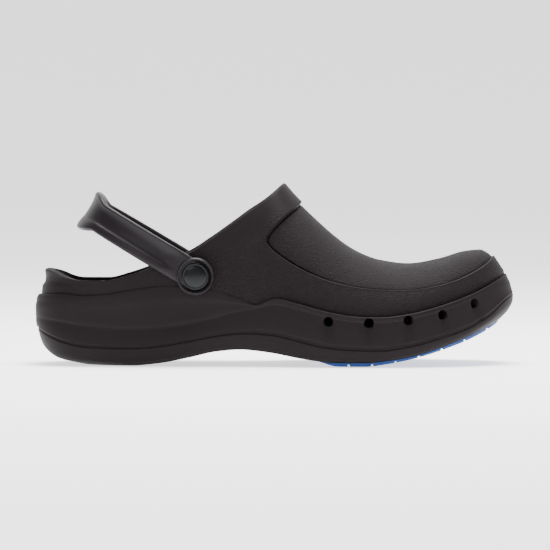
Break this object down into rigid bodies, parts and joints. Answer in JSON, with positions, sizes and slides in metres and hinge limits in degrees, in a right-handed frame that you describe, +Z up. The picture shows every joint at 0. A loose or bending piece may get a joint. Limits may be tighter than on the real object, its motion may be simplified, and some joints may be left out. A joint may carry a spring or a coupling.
{
  "type": "clog",
  "caption": "Closed-toe moulded work clog for the right foot, with a pivoting heel strap, vents along its side and a blue rubber forefoot outsole.",
  "frame": {"origin": "on the floor, under the middle of the clog's bounding box", "axes": "+X to the toe, +Y to the inner side of the foot, +Z up"},
  "size_m": [0.29, 0.1104, 0.1088],
  "materials": {
    "eva": "matte",
    "strap_eva": "satin",
    "rubber": "satin",
    "lining": "matte",
    "button": "gloss"
  },
  "bodies": {
    "root": {"body": "eva", "outsole": "rubber", "insole": "lining", "strap": "strap_eva", "button_lateral": "button", "button_medial": "button"}
  },
  "joints": []
}
